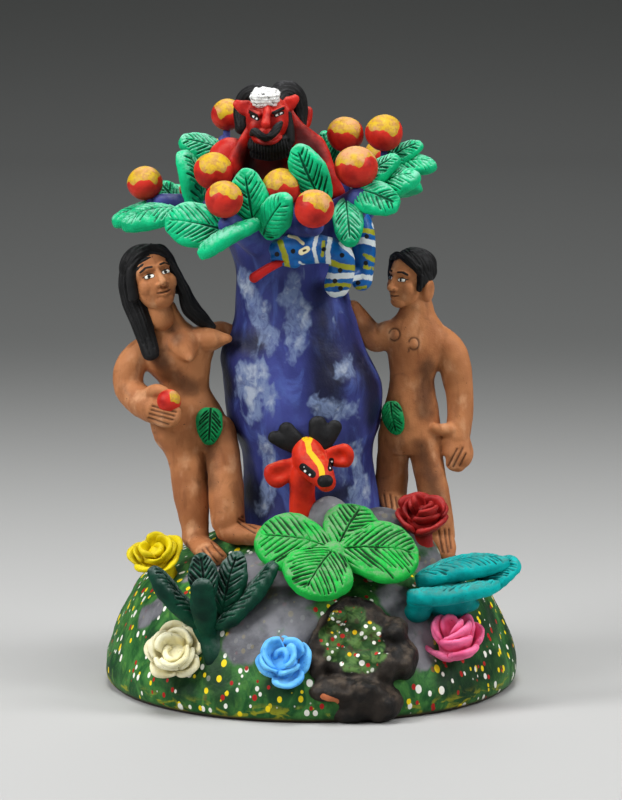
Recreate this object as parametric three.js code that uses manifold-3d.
// A painted clay folk group: a tree on a round mound, with a woman, a man, a horned figure in the
// crown, a serpent, a deer, leafy plants, flowers and a rock. Millimetres, +Z up, seen from -Y.
// The origin is the middle of the flat underside.
import * as THREE from 'three';
import { mergeVertices } from 'three/addons/utils/BufferGeometryUtils.js';
import Module from 'manifold-3d';

const wasm = await Module();
wasm.setup();

// Driving dimensions
const MOUND_RADIUS = 103.3;
const MOUND_TOP = 95;
const CROWN_FLOOR = 239;
const APPLE_RADIUS = 9.3;
const ROSE_RADIUS = 14;
const LEAF_THICKNESS = 6;

// Radius and height of the mound's outline, from the underside up to inside the trunk's foot
const MOUND_PROFILE = [
  [0, 0], [99, 0], [MOUND_RADIUS, 6], [102.5, 13], [92, 41], [83, 54],
  [70, 63.5], [52, 72], [34, 86], [0, MOUND_TOP],
];

// Height, middle in X, radius in X and radius in Y of the trunk
const TRUNK_STATIONS = [
  [78, 0, 38, 38], [92, 0, 34.5, 34.5], [116, -2, 33, 34], [131, -3.8, 38, 36.5],
  [150, -4.3, 39.5, 36.5], [167, -9, 36.5, 33], [183, -8, 30.5, 30], [208, -11, 27, 27.5],
  [222, -12, 30.5, 31.5], [CROWN_FLOOR, -12, 39, 40],
];

// Each branch: the points of its middle line and the radius at each
const BRANCHES = [
  { points: [[-24, -2, 226], [-48, -6, 236], [-74, -10, 242]], radii: [13, 8.5, 5] },
  { points: [[-22, -18, 226], [-34, -34, 234], [-40, -49, 235]], radii: [12, 9, 5.5] },
  { points: [[-8, -20, 228], [-6, -38, 236], [1, -53, 235]], radii: [12, 9, 5.5] },
  { points: [[8, -12, 228], [18, -26, 239], [24, -36, 247]], radii: [12, 9, 6] },
  { points: [[10, 4, 229], [28, -1, 244], [36, -9, 258]], radii: [12, 8, 5] },
  { points: [[4, 0, 232], [13, -2, 250], [17, -5, 263]], radii: [10, 6, 4] },
  { points: [[-24, 12, 228], [-36, 17, 250], [-43, 16, 270]], radii: [12, 7, 4] },
  { points: [[-28, 16, 226], [-42, 28, 238], [-47, 36, 247]], radii: [12, 8, 5] },
  { points: [[-12, 20, 226], [-12, 38, 238], [-12, 50, 245]], radii: [13, 8, 5] },
  { points: [[6, 16, 226], [24, 30, 238], [34, 37, 246]], radii: [12, 8, 5] },
];

// Middle of each apple, where its stem starts, and its size beside the usual one
const APPLES = [
  { at: [-82, -8, 251.5], stem: [-79, -9, 242], size: 0.94 },
  { at: [-57.5, 5, 246.5], stem: [-55, -2, 238], size: 0.86 },
  { at: [-47.5, -30, 259.5], stem: [-38, -28, 236], size: 1.02 },
  { at: [-42, -54, 248], stem: [-38, -46, 236], size: 1 },
  { at: [-41.5, 16, 283.5], stem: [-42.5, 16, 268], size: 0.88 },
  { at: [-14.5, -40, 252.5], stem: [-10, -37, 238], size: 1.02 },
  { at: [1.5, -58, 243.8], stem: [0, -51, 235], size: 1.04 },
  { at: [22, -36, 262], stem: [24, -36, 247], size: 1.15 },
  { at: [17, -6, 275.5], stem: [17, -5, 262], size: 0.98 },
  { at: [36, -10, 276.5], stem: [36, -9, 258], size: 1 },
  { at: [-48, 38, 261], stem: [-47, 36, 246], size: 0.95 },
  { at: [-10, 52, 259], stem: [-12, 49, 245], size: 1.05 },
  { at: [36, 38, 261], stem: [34, 37, 246], size: 1 },
];

// Each leaf of the crown: where it joins, its tip, half its width, the way its veined side faces
// and its thickness
const CROWN_LEAVES = [
  { base: [-68, -8, 239], tip: [-98, -11, 232], width: 7.5, face: [-0.25, -0.45, 0.9], thick: 8 },
  { base: [-64, -14, 237], tip: [-93, -21, 231.5], width: 9, face: [-0.2, -0.45, 0.9], thick: 9 },
  { base: [-65, 4, 239], tip: [-75, 8, 250], width: 5.5, face: [-0.3, -0.8, 0.5], thick: 6 },
  { base: [-57, -12, 239], tip: [-63.5, -14, 268], width: 9, face: [0.92, -0.4, 0.22], thick: 9.5 },
  { base: [-41, 13, 262], tip: [-66, 8, 271], width: 8, face: [-0.1, -0.7, 0.7], thick: 8 },
  { base: [-42, -45, 232], tip: [-71, -42, 236.5], width: 11.5, face: [-0.2, -0.9, 0.35], thick: 7.5 },
  { base: [-24, -45, 236], tip: [-54, -60, 220.5], width: 9.5, face: [-0.2, 0.1, 0.97], thick: 9 },
  { base: [-27, -42, 232], tip: [-32, -45, 262], width: 9.5, face: [-0.1, -1, 0.1], thick: 7 },
  { base: [-22, -40, 229], tip: [-11, -60, 250], width: 9, face: [0.1, -0.8, 0.5], thick: 8 },
  { base: [7, -38, 244], tip: [-7, -42, 273.5], width: 9.2, face: [-0.3, -0.9, 0.2], thick: 8 },
  { base: [17, -33, 246], tip: [19, -50, 225], width: 7.8, face: [0, -1, 0.3], thick: 7 },
  { base: [20, -34, 250], tip: [43, -43, 243], width: 9.2, face: [0.1, -0.8, 0.5], thick: 8 },
  { base: [30, -26, 248], tip: [53, -32, 257], width: 9, face: [0, -0.6, 0.8], thick: 8.5 },
  { base: [24, -28, 251], tip: [43, -28, 266], width: 6.5, face: [-0.3, -0.7, 0.7], thick: 7 },
  { base: [34, -6, 258], tip: [55, -6, 271], width: 6, face: [-0.2, -0.7, 0.7], thick: 6.5 },
  { base: [36, -4, 258], tip: [62, -10, 260], width: 6.8, face: [0.1, -0.6, 0.8], thick: 7.5 },
  { base: [12, 2, 256], tip: [6, 8, 276], width: 5, face: [-0.2, -0.9, 0.2], thick: 6 },
  { base: [-46, 28, 238], tip: [-84, 34, 240], width: 9, face: [-0.2, 0.6, 0.7], thick: 8 },
  { base: [-46, 32, 239], tip: [-68, 54, 232], width: 9, face: [-0.3, 0.6, 0.7], thick: 8 },
  { base: [-38, 26, 238], tip: [-44, 36, 264], width: 9, face: [-0.2, 0.9, 0.3], thick: 8 },
  { base: [-17, 37, 239], tip: [-32, 62, 233], width: 9, face: [-0.1, 0.6, 0.8], thick: 8 },
  { base: [-7, 37, 239], tip: [7, 62, 234], width: 9, face: [0.1, 0.6, 0.8], thick: 8 },
  { base: [26, 30, 240], tip: [40, 54, 236], width: 9, face: [0.3, 0.6, 0.7], thick: 8 },
  { base: [26, 24, 240], tip: [56, 30, 246], width: 9, face: [0.3, 0.4, 0.8], thick: 8 },
  { base: [26, 5, 244], tip: [52, 14, 256], width: 8, face: [0.3, 0.2, 0.9], thick: 7.5 },
];

// Height, middle in X, half width and half depth of each body, from the hips up to the neck
const WOMAN_BODY = [
  [119, -58, 15, 10], [128, -59.5, 19.5, 13], [139, -61.6, 17.5, 12], [150, -62.3, 11.8, 9.5],
  [163, -67.5, 18.3, 12], [171, -67.5, 19.5, 11], [178, -68.5, 13.5, 8], [183, -70, 8, 7],
  [193, -73, 5.6, 5.6],
];
const MAN_BODY = [
  [115, 50, 13, 10], [123, 50.2, 15.7, 12.5], [136, 50.3, 15, 12], [152, 51, 11.7, 10.5],
  [166, 53, 15.4, 11.5], [173, 53, 17, 11.5], [180, 51.8, 14, 10], [185, 52.4, 9.8, 8.8],
  [195, 52, 6.4, 6.4],
];

// Place, turn in degrees and size of each head
const WOMAN_HEAD = { at: [-79, -16, 204.5], turn: [-20, -12, 27], size: 1.08 };
const MAN_HEAD = { at: [49, 1, 203], turn: [-4, 3, -50], size: 0.98 };

const vec = (p) => new THREE.Vector3(p[0], p[1], p[2]);

// A closed geometry as a solid that can be joined
function solid(geometry) {
  const plain = geometry.clone();
  for (const name of ['normal', 'uv']) plain.deleteAttribute(name);
  const merged = mergeVertices(plain, 1e-4);
  return new wasm.Manifold(new wasm.Mesh({
    numProp: 3,
    vertProperties: Float32Array.from(merged.attributes.position.array),
    triVerts: Uint32Array.from(merged.index.array),
  }));
}

// A closed skin over rings of equal count, with a point at either end
function skin(first, rings, last) {
  const sides = rings[0].length;
  const points = [first, ...rings.flat(), last];
  const at = (ring, side) => 1 + ring * sides + (side % sides);
  const faces = [];
  for (let side = 0; side < sides; side += 1) {
    faces.push(0, at(0, side + 1), at(0, side));
    for (let ring = 0; ring + 1 < rings.length; ring += 1) {
      faces.push(at(ring, side), at(ring, side + 1), at(ring + 1, side + 1));
      faces.push(at(ring, side), at(ring + 1, side + 1), at(ring + 1, side));
    }
    faces.push(points.length - 1, at(rings.length - 1, side), at(rings.length - 1, side + 1));
  }
  const geometry = new THREE.BufferGeometry().setFromPoints(points);
  geometry.setIndex(faces);
  return solid(geometry);
}

// A horizontal oval ring
function oval([z, x, halfWidth, halfDepth], y, sides) {
  return Array.from({ length: sides }, (_, i) => {
    const angle = (i * 2 * Math.PI) / sides;
    return new THREE.Vector3(x + halfWidth * Math.cos(angle), y + halfDepth * Math.sin(angle), z);
  });
}

// A body built up from horizontal ovals at one depth
function stack(stations, y, sides) {
  const rings = stations.map((station) => oval(station, y, sides));
  const [first, last] = [stations[0], stations.at(-1)];
  return skin(vec([first[1], y, first[0] - 1]), rings, vec([last[1], y, last[0] + 1]));
}

// A rolled coil of clay; flat is its depth beside its width, across the way it faces, and an end
// that lies inside another lump needs no rounding
function coil(points, radii, { sides = 6, steps = 1, flat = 1, face = [0, -1, 0], round = 'end' } = {}) {
  const curve = new THREE.CatmullRomCurve3(points.map(vec), false, 'centripetal');
  const count = (points.length - 1) * steps;
  const frames = Array.from({ length: count + 1 }, (_, i) => {
    const t = i / count;
    const place = t * (radii.length - 1);
    const low = Math.min(Math.floor(place), radii.length - 2);
    return {
      middle: curve.getPoint(t),
      along: curve.getTangent(t),
      radius: THREE.MathUtils.lerp(radii[low], radii[low + 1], place - low),
    };
  });
  const ring = ({ middle, along, radius }, shrink, shift) => {
    const front = vec(face).addScaledVector(along, -vec(face).dot(along)).normalize();
    const side = new THREE.Vector3().crossVectors(front, along);
    return Array.from({ length: sides }, (_, i) => {
      const angle = (i * 2 * Math.PI) / sides;
      return middle.clone()
        .addScaledVector(along, shift * radius * flat)
        .addScaledVector(side, -Math.cos(angle) * radius * shrink)
        .addScaledVector(front, -Math.sin(angle) * radius * shrink * flat);
    });
  };
  const [start, end] = [frames[0], frames.at(-1)];
  const rings = frames.map((frame) => ring(frame, 1, 0));
  if (round === 'both') rings.unshift(ring(start, 0.7, -0.6));
  if (round !== 'none') rings.push(ring(end, 0.7, 0.6));
  const tip = ({ middle, along, radius }, sign) => middle.clone()
    .addScaledVector(along, sign * radius * flat * 0.9);
  return skin(tip(start, -1), rings, tip(end, 1));
}

// A lump of clay: an oval ball, turned by angles in degrees
function lump(at, radii, { turn = [0, 0, 0], around = 7, down = 5 } = {}) {
  const geometry = new THREE.SphereGeometry(1, around, down);
  geometry.scale(...radii);
  const angles = turn.map(THREE.MathUtils.degToRad);
  geometry.applyMatrix4(new THREE.Matrix4().makeRotationFromEuler(new THREE.Euler(...angles, 'ZYX')));
  geometry.translate(...at);
  return solid(geometry);
}

// A thick leaf with rounded edges, bowed towards the side that it faces
const LEAF_OUTLINE = [[0.04, 0.55], [0.42, 1], [0.84, 0.78]];
const LEAF_SECTION = [[1, 0], [0.62, 1], [-0.62, 1], [-1, 0], [-0.62, -1], [0.62, -1]];
function leaf({ base, tip, width, face, thick = LEAF_THICKNESS, bow = 0.06 }) {
  const spine = vec(tip).sub(vec(base));
  const along = spine.clone().normalize();
  const front = vec(face).addScaledVector(along, -vec(face).dot(along)).normalize();
  const side = new THREE.Vector3().crossVectors(along, front);
  const middle = (share) => vec(base).addScaledVector(spine, share)
    .addScaledVector(front, bow * spine.length() * Math.sin(Math.PI * share));
  const rings = LEAF_OUTLINE.map(([share, wide]) => LEAF_SECTION.map(([across, up]) => middle(share)
    .addScaledVector(side, -across * width * wide)
    .addScaledVector(front, up * 0.5 * thick * Math.min(1, 0.5 + wide / 2))));
  return skin(middle(-0.03), rings, middle(1));
}

// A rose: rings of lobed petals, each turned against the one below, around a pinched bud
const ROSE_RINGS = [[-0.4, 0.6], [0, 1], [0.38, 0.6]];
const ROSE_PETALS = 5;
const ROSE_SIDES = 10;
function rose(at, face, size = 1) {
  const rings = ROSE_RINGS.map(([height, wide], row) => Array.from({ length: ROSE_SIDES }, (_, i) => {
    const angle = (i * 2 * Math.PI) / ROSE_SIDES;
    const lobe = 1 - 0.14 * Math.abs(Math.sin((ROSE_PETALS * angle + row * Math.PI) / 2));
    const radius = ROSE_RADIUS * wide * lobe;
    return new THREE.Vector3(radius * Math.cos(angle), radius * Math.sin(angle), height * ROSE_RADIUS);
  }));
  const turn = new THREE.Quaternion().setFromUnitVectors(new THREE.Vector3(0, 0, 1), vec(face).normalize());
  const place = (point) => point.multiplyScalar(size).applyQuaternion(turn).add(vec(at));
  const ends = [-0.5, 0.46].map((height) => place(new THREE.Vector3(0, 0, height * ROSE_RADIUS)));
  return skin(ends[0], rings.map((ring) => ring.map(place)), ends[1]);
}

const join = (parts) => parts.reduce((whole, part) => whole.add(part));

// The mound, with the grey earth that swells against the trunk's foot
function mound() {
  const profile = MOUND_PROFILE.map(([radius, height]) => new THREE.Vector2(radius, height));
  return join([
    solid(new THREE.LatheGeometry(profile, 24).rotateX(Math.PI / 2)),
    lump([9, -37, 82], [13, 12, 13]),
    lump([34, -30, 78], [15, 13, 12]),
  ]);
}

// The rock: one mass that leans on the mound, a rim over its hollow and lumps below and beside it
function rock() {
  return join([
    lump([22, -74, 29], [24.5, 26, 27]),
    lump([22, -78, 15.5], [22, 26, 15]),
    lump([42, -84, 40], [8, 12, 9]),
    lump([44, -88, 26], [8, 12, 10]),
    lump([12, -97, 22], [12, 9, 8]),
    lump([30, -96, 13], [12, 10, 12]),
    coil([[0, -95, 30], [3, -91, 46], [20, -78, 56], [34, -84, 47]], [4.4, 3.9, 3.9, 4.6]),
  ]);
}

function tree() {
  const trunk = stack(TRUNK_STATIONS, 0, 12);
  const branches = BRANCHES.map(({ points, radii }) => coil(points, radii, { sides: 5, face: [0, 0, 1] }));
  return join([trunk, ...branches]);
}

function apple({ at, stem, size }) {
  const radius = APPLE_RADIUS * size;
  return join([
    lump(at, [radius, radius, radius], { around: 7, down: 5 }),
    coil([stem, at], [2.6, 1.6], { sides: 3, face: [0.3, 1, 0.1], round: 'none' }),
  ]);
}

// A head with -Y ahead in its own frame: skull, cheeks, chin and nose, then its hair
function head({ at, turn, size }, hair) {
  const rotation = new THREE.Euler(...turn.map(THREE.MathUtils.degToRad), 'ZYX');
  const place = (point) => vec(point).multiplyScalar(size).applyEuler(rotation).add(vec(at)).toArray();
  const part = (point, radii, detail) => {
    const scaled = radii.map((radius) => radius * size);
    return lump(place(point), scaled, { turn, ...detail });
  };
  return join([
    part([0, 1.5, 4], [10.4, 12, 12]),
    part([0, -2, -4], [9.2, 9.4, 11.5], { around: 7, down: 6 }),
    part([0, -6, -11], [5, 4.2, 4], { around: 6, down: 4 }),
    coil([[0, -10, 2.8], [0, -13, -4.4]].map(place), [1.8 * size, 2.4 * size], { sides: 4 }),
    ...hair.map(([point, radii]) => part(point, radii, { around: 7, down: 4 })),
  ]);
}

function woman() {
  return join([
    stack(WOMAN_BODY, -12, 8),
    head(WOMAN_HEAD, [[[0, 4, 5.5], [11.8, 12.4, 12.6]], [[0, 6.5, -5], [10.6, 8.5, 12]]]),
    coil([[-86, -13, 214], [-89, -16, 202], [-84, -20, 184], [-79, -25, 168.5]], [5, 6, 5.6, 4.4],
      { flat: 0.75, sides: 5 }),
    coil([[-70, -14, 214], [-61, -17, 194], [-49, -16, 181]], [3.4, 4.4, 3], { flat: 0.8, sides: 5 }),
    coil([[-65, -16, 173], [-61.5, -23, 170], [-59.7, -28, 167.4]], [8.6, 7, 2.6], { face: [0, 0, 1] }),
    coil([[-55, -14, 174], [-48, -18, 175], [-42, -21, 176]], [7, 5.5, 2.2], { face: [0, 0, 1] }),
    // The arm that holds an apple, with its hand and thumb
    coil([[-80, -12, 169], [-90, -14, 159], [-88, -19, 147], [-77, -28, 142]], [8.5, 7.7, 7.5, 7.5]),
    coil([[-78, -28, 143], [-67, -36, 139]], [7.4, 6.4], { flat: 0.6 }),
    coil([[-82, -27, 148], [-72, -33, 151.5]], [3.8, 3], { sides: 4 }),
    lump([-69.8, -34.3, 146.6], [6, 6, 6], { around: 7, down: 4 }),
    // The arm that leans on the trunk
    coil([[-54, -10, 174], [-46, -5, 178], [-38, -1, 175]], [6, 4.5, 4]),
    // Legs and feet
    coil([[-65, -12, 128], [-61.6, -14, 114], [-59, -19, 95], [-57, -24, 77]], [13.5, 10, 8.6, 7]),
    coil([[-58, -22, 76], [-52, -33, 72.5], [-47, -42, 70]], [6.5, 7.5, 6],
      { flat: 0.65, face: [0, 0.2, 1] }),
    coil([[-46, -14, 128], [-43.4, -20, 116], [-41, -31, 86]], [9, 8.6, 8.6]),
    coil([[-41, -32, 81.5], [-34, -36, 80.5], [-22, -40, 80.5]], [7.5, 7, 5.5],
      { flat: 0.8, face: [0, 0, 1] }),
    leaf({ base: [-49.5, -22, 142], tip: [-50.5, -24.4, 123.5], width: 6.8, thick: 6, face: [0, -1, 0.1] }),
  ]);
}

function man() {
  return join([
    stack(MAN_BODY, 2, 8),
    head(MAN_HEAD, [
      [[0, 3.6, 7.6], [11.4, 12.2, 10.8]],
      [[8.8, 5.6, -4.6], [3, 4.8, 6.6]],
      [[-8.8, 5.6, -4.6], [3, 4.8, 6.6]],
    ]),
    // The arm that hangs, with its hand and thumb
    coil([[60, 2, 173], [69, 2, 166], [73, 1, 145], [72, -3, 124]], [9, 8.5, 7.8, 6.5]),
    coil([[72, -4, 123], [73.5, -6, 115], [72, -7, 110]], [7, 7.5, 5], { flat: 0.65 }),
    coil([[69, -6, 127], [62, -8, 127.5]], [3.6, 2.6], { sides: 4 }),
    // The arm that leans on the trunk
    coil([[40, 2, 175], [32, 3, 173], [26, 3, 180], [21, 2, 188]], [7.5, 7, 5.5, 4.5]),
    // Legs and feet
    coil([[42, 2, 124], [41, 4, 110], [40, 3, 94]], [8.5, 8.2, 8.2]),
    coil([[40, 2, 94], [41.5, -6, 90], [43, -12, 86]], [7, 6.5, 5.5], { flat: 0.7, face: [0, 0.3, 1] }),
    coil([[56, 0, 124], [59, -4, 107], [63, -10, 90], [65.5, -14, 75]], [9.5, 7.9, 7.3, 6.5]),
    coil([[65, -14, 75], [66, -21, 71.5], [66.5, -28, 68.5]], [6.5, 6.5, 5],
      { flat: 0.65, face: [0, 0.3, 1] }),
    leaf({ base: [39.8, -7, 142.6], tip: [43.2, -9, 126], width: 5.4, thick: 6, face: [-0.3, -1, 0] }),
  ]);
}

// The horned figure that sits in the crown
function hornedFigure() {
  const body = [
    [236, -16, 24, 18], [250, -17, 25, 17], [262, -19, 21.5, 13.5], [270, -20, 16, 10.5], [277, -21, 9, 8],
  ];
  return join([
    stack(body, -4, 8),
    coil([[-28, -8, 271], [-41, -11, 268], [-48, -14, 256], [-43, -16, 244]], [7, 8.5, 8, 7]),
    coil([[-12, -8, 273], [3, -8, 266], [12, -12, 256], [16, -20, 247]], [7, 7.5, 7.5, 6.5]),
    coil([[-8, -5, 282], [-1, -4, 279], [0, -3, 287]], [4, 3.5, 2.5]),
    lump([-21, -20, 284], [10.8, 10.5, 12.4], { around: 8, down: 5 }),
    lump([-21.5, -25.5, 276.4], [7.4, 7, 5.2]),
    lump([-22.5, -27.5, 295.2], [7.6, 5.4, 5.4]),
    coil([[-21.2, -29.5, 290.6], [-22, -34, 282.8]], [2.2, 2.8], { sides: 4 }),
    coil([[-22, -16, 293], [-30, -11, 295], [-35.5, -10, 287], [-35.2, -13, 279.4]], [6, 5.8, 4.2, 3.8],
      { sides: 5 }),
    coil([[-16, -15, 293.5], [-10, -11, 296.4], [-6, -10, 288], [-5.4, -12, 280.4]], [6.4, 6.2, 4.6, 3.6]),
    coil([[-28, -19, 288.5], [-36, -20, 291.4]], [3.8, 3.8], { flat: 0.5, sides: 4 }),
    coil([[-14.5, -19, 288.6], [-8.6, -19, 293.2]], [3.6, 3.4], { flat: 0.5, sides: 4 }),
    coil([[-29.2, -30, 281.6], [-21.6, -34.4, 277.6], [-13.6, -30.4, 283]], [1.6, 2.4, 1.6], { sides: 4 }),
    coil([[-20.6, -24, 272], [-20.6, -25, 264]], [10, 10.8], { flat: 0.5 }),
  ]);
}

function serpent() {
  return join([
    coil([[-15.5, -43, 222.5], [-7, -42, 223], [9, -39, 221.5], [15, -34, 213], [12.8, -29, 203.2]],
      [5.6, 8.2, 6.6, 6.4, 6.4]),
    coil([[14, -26, 206.5], [24, -15, 208.5]], [4, 4], { sides: 4, round: 'none' }),
    coil([[25, -14, 203.8], [26, -14, 219], [24, -12, 233], [14, -8, 240]], [5.2, 5.9, 5.5, 4], { sides: 5 }),
    coil([[-17, -45, 218.3], [-8, -45, 216.8]], [2.8, 3.4], { sides: 4 }),
    coil([[-12, -44, 217.4], [-27.6, -49, 209.4]], [2.2, 2.5], { sides: 4 }),
  ]);
}

function deer() {
  return join([
    coil([[-3, -37, 82], [-4, -39, 99], [-4, -41, 112]], [9, 6.8, 6.8]),
    lump([-1.6, -41, 122], [9.4, 8.6, 8.6]),
    coil([[-1, -43, 119.5], [2.6, -49, 115.6], [7.4, -56.4, 110]], [9, 8, 5]),
    coil([[-7, -41, 116.6], [-17.6, -43, 111.4]], [4.6, 6.2], { flat: 0.5 }),
    coil([[6, -41, 119.5], [16, -43, 120.4]], [4.6, 6.2], { flat: 0.5 }),
    coil([[-6, -39, 124.5], [-12, -40, 133.4]], [4.8, 4.2], { flat: 0.8, sides: 5 }),
    coil([[-7.4, -39, 125.6], [-18.4, -40, 129.6]], [4.8, 3.6], { flat: 0.8, sides: 5 }),
    coil([[5, -39, 126], [3.2, -39, 136]], [5, 4.8], { flat: 0.8, sides: 5 }),
    coil([[6.4, -39, 127], [11.8, -39, 134.8]], [4.6, 3.8], { flat: 0.8, sides: 5 }),
  ]);
}

// The four broad leaves that spread over the front of the mound
const LOBES = [
  { tip: [-27, -65, 83.5], width: 18.5, lift: 0 },
  { tip: [25, -44.5, 94.5], width: 14, lift: 0.2 },
  { tip: [52.5, -68, 74], width: 19, lift: 0.8 },
  { tip: [-3.5, -93.5, 59.5], width: 18, lift: 2.2 },
];
function broadLeaves() {
  const face = [0.05, -0.62, 0.78];
  const raised = (point, lift) => vec(point).addScaledVector(vec(face), lift).toArray();
  const lobes = LOBES.map(({ tip, width, lift }) => leaf({
    base: raised([12, -69, 77.5], lift), tip: raised(tip, lift), width, face, thick: 8.5, bow: 0.05,
  }));
  return join([...lobes, coil([[6, -74, 56], [11, -69, 76]], [6, 7])]);
}

// The dark plant on the left: thick leaves that open out of one stalk
function darkPlant() {
  return join([
    coil([[-45, -88, 20], [-49, -81.5, 35], [-50, -75, 52]], [5.5, 8.8, 7.5], { flat: 0.6 }),
    coil([[-50.5, -80, 42], [-52.3, -89, 64]], [6.4, 6.4], { flat: 0.7, round: 'both' }),
    leaf({
      base: [-52, -78, 42], tip: [-77.5, -79, 72], width: 7.4, thick: 9, face: [0.6, 0.15, 0.75], bow: -0.04,
    }),
    leaf({ base: [-51, -86, 57], tip: [-53.5, -79, 82], width: 7.4, thick: 6, face: [0, -0.8, 0.6] }),
    leaf({ base: [-42, -78, 48], tip: [-34, -74, 81], width: 8.2, thick: 7, face: [-0.25, -0.85, 0.4] }),
    leaf({
      base: [-46, -82, 42], tip: [-17, -82, 75], width: 8.6, thick: 8, face: [-0.6, 0.35, 0.7], bow: -0.05,
    }),
  ]);
}

// The blue-green plant on the right: three leaves in layers on a broad foot
function tealPlant() {
  return join([
    coil([[66, -62, 46], [69, -69, 58]], [9, 13], { flat: 0.6 }),
    coil([[54, -68, 44], [53, -76, 56]], [5, 6.5], { flat: 0.7 }),
    leaf({
      base: [46.5, -79, 57.5], tip: [92, -74, 62.5], width: 8.2, thick: 9.5, face: [0, 0.12, 1], bow: -0.04,
    }),
    leaf({ base: [51, -68, 61.5], tip: [96.5, -67, 70.5], width: 9.5, thick: 10, face: [0, -0.16, 1] }),
    leaf({ base: [80, -64, 57], tip: [101.5, -63, 71], width: 9.2, thick: 8, face: [-0.45, -0.5, 0.75] }),
  ]);
}

function flowers() {
  return join([
    rose([-76, -36, 71], [-0.15, -0.62, 0.78], 0.92),
    coil([[-69, -32, 52], [-75, -35, 69]], [6, 5.5], { sides: 5, round: 'none' }),
    rose([-66, -79, 31], [-0.15, -0.85, 0.55], 1.08),
    rose([-14.5, -98, 32], [0, -0.85, 0.5], 1),
    rose([70, -71, 38], [-0.1, -0.76, 0.64], 1.08),
    rose([55.5, -38, 90], [0.1, -0.5, 0.85], 0.95),
    coil([[56, -34, 60], [55.5, -37, 86]], [5, 4.5], { sides: 5, round: 'none' }),
  ]);
}

const claywork = join([
  mound(), rock(), tree(), ...CROWN_LEAVES.map(leaf), ...APPLES.map(apple), woman(), man(),
  hornedFigure(), serpent(), deer(), broadLeaves(), darkPlant(), tealPlant(), flowers(),
]);

// A joined solid as a mesh of its own
function piece(name, joined, colour) {
  const { vertProperties, triVerts, numProp } = joined.getMesh();
  const geometry = new THREE.BufferGeometry();
  geometry.setAttribute('position', new THREE.BufferAttribute(Float32Array.from(vertProperties), numProp));
  geometry.setIndex(Array.from(triVerts));
  geometry.computeVertexNormals();
  const material = new THREE.MeshStandardMaterial({ color: colour, roughness: 0.75, metalness: 0 });
  const mesh = new THREE.Mesh(geometry, material);
  mesh.name = name;
  return mesh;
}

const group = new THREE.Group();
group.add(piece('clay_group', claywork, 0xb8734a));

export default group;
